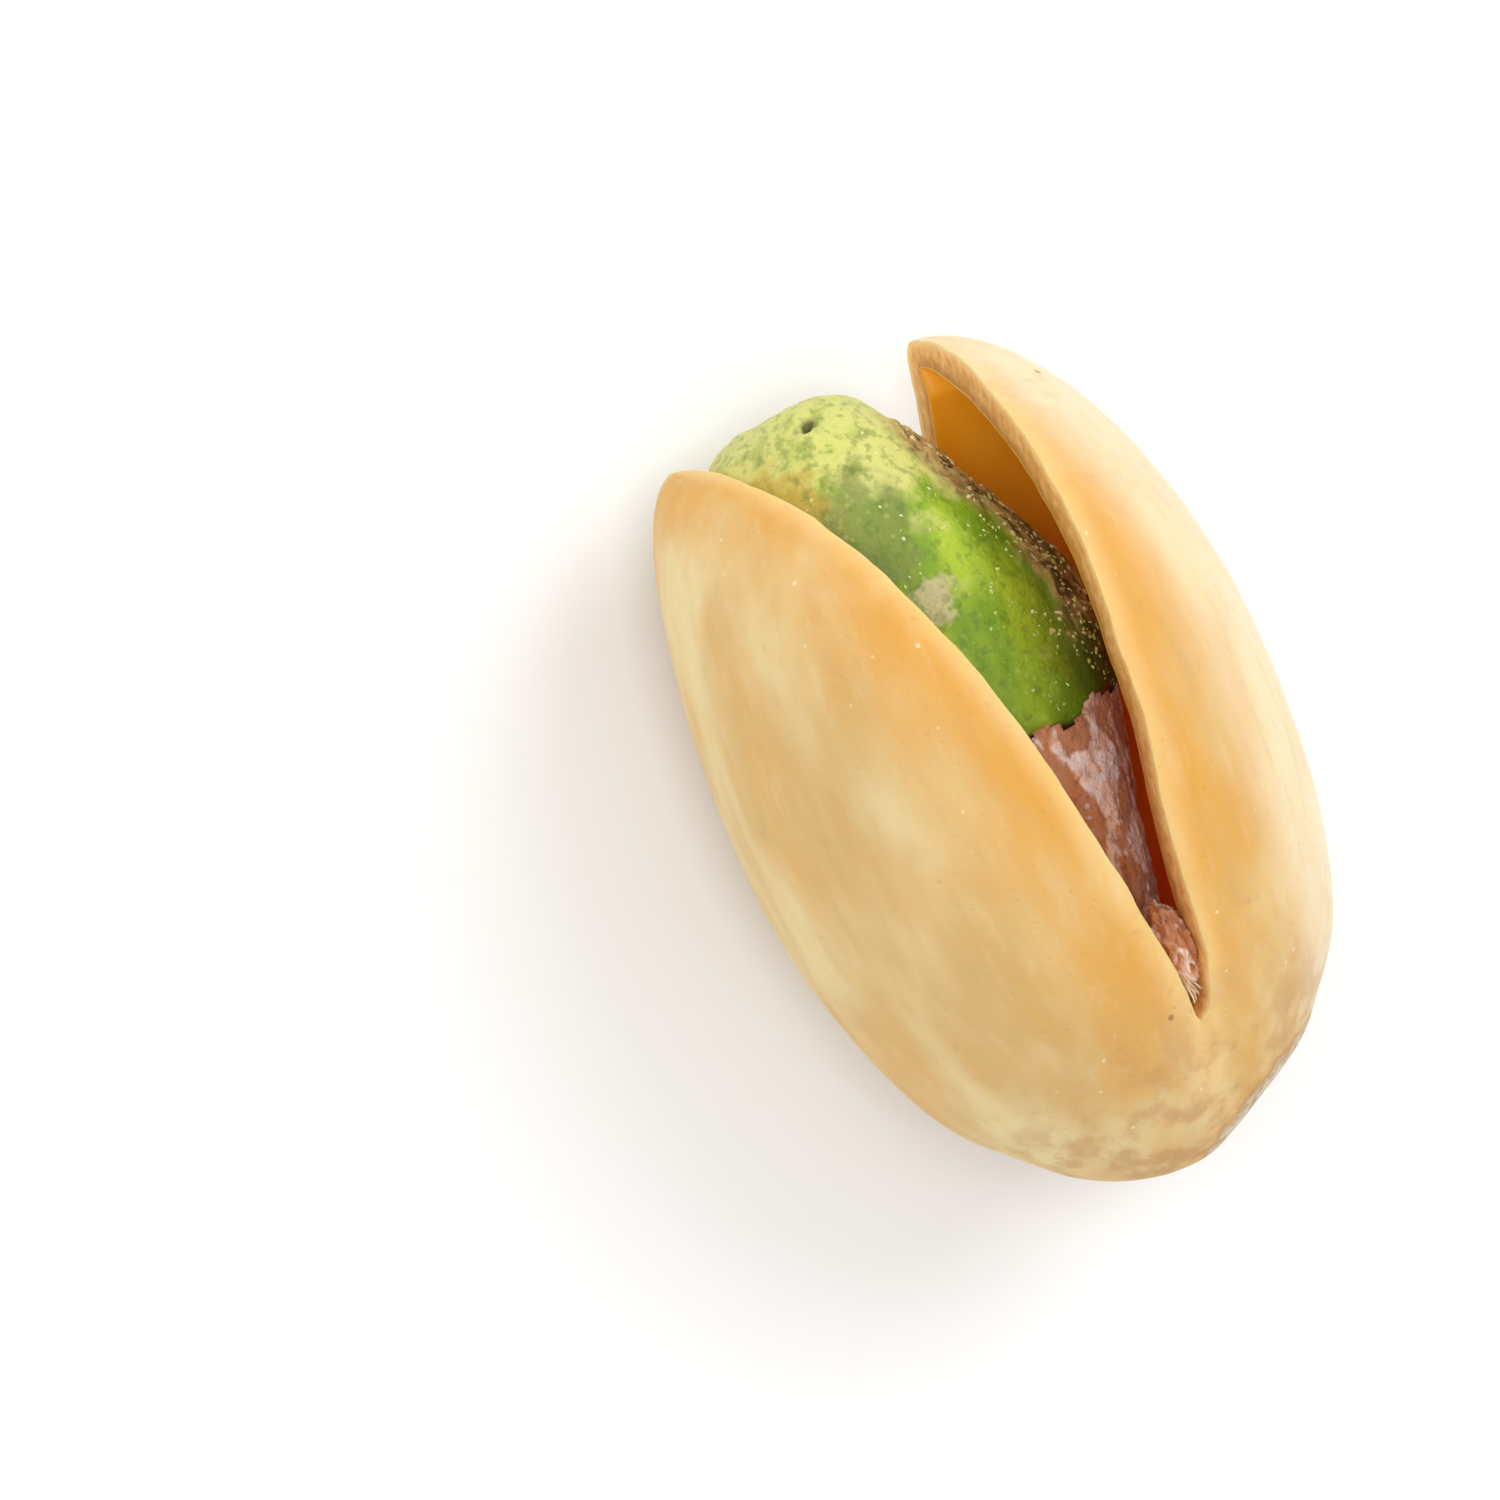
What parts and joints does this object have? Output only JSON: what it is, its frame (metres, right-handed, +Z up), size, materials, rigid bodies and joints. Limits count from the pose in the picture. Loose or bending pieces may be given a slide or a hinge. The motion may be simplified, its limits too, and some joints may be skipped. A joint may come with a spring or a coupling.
{
  "type": "pistachio in shell",
  "caption": "A pistachio nut lying in its open shell with the split up, its green kernel partly clothed in papery seed coat.",
  "frame": {"origin": "on the ground, below the middle of the shell", "axes": "+X from the stem end to the tip, +Z up out of the split, +Y towards the valve that the kernel leans to"},
  "size_m": [0.0198, 0.013, 0.0114],
  "materials": {
    "shell": "smooth hard nutshell, satin, cream outside with tan patches, orange inside",
    "kernel": "bright green nut meat, slightly waxy, with pale patches and fine grains of salt",
    "seed_coat": "dry, wrinkled, papery skin, pinkish mauve mottled with brown",
    "seed_stalk": "dry pale brown plant fibre, matte"
  },
  "bodies": {
    "root": {"shell": "shell", "kernel": "kernel", "seed_coat": "seed_coat", "seed_stalk": "seed_stalk"}
  },
  "joints": []
}
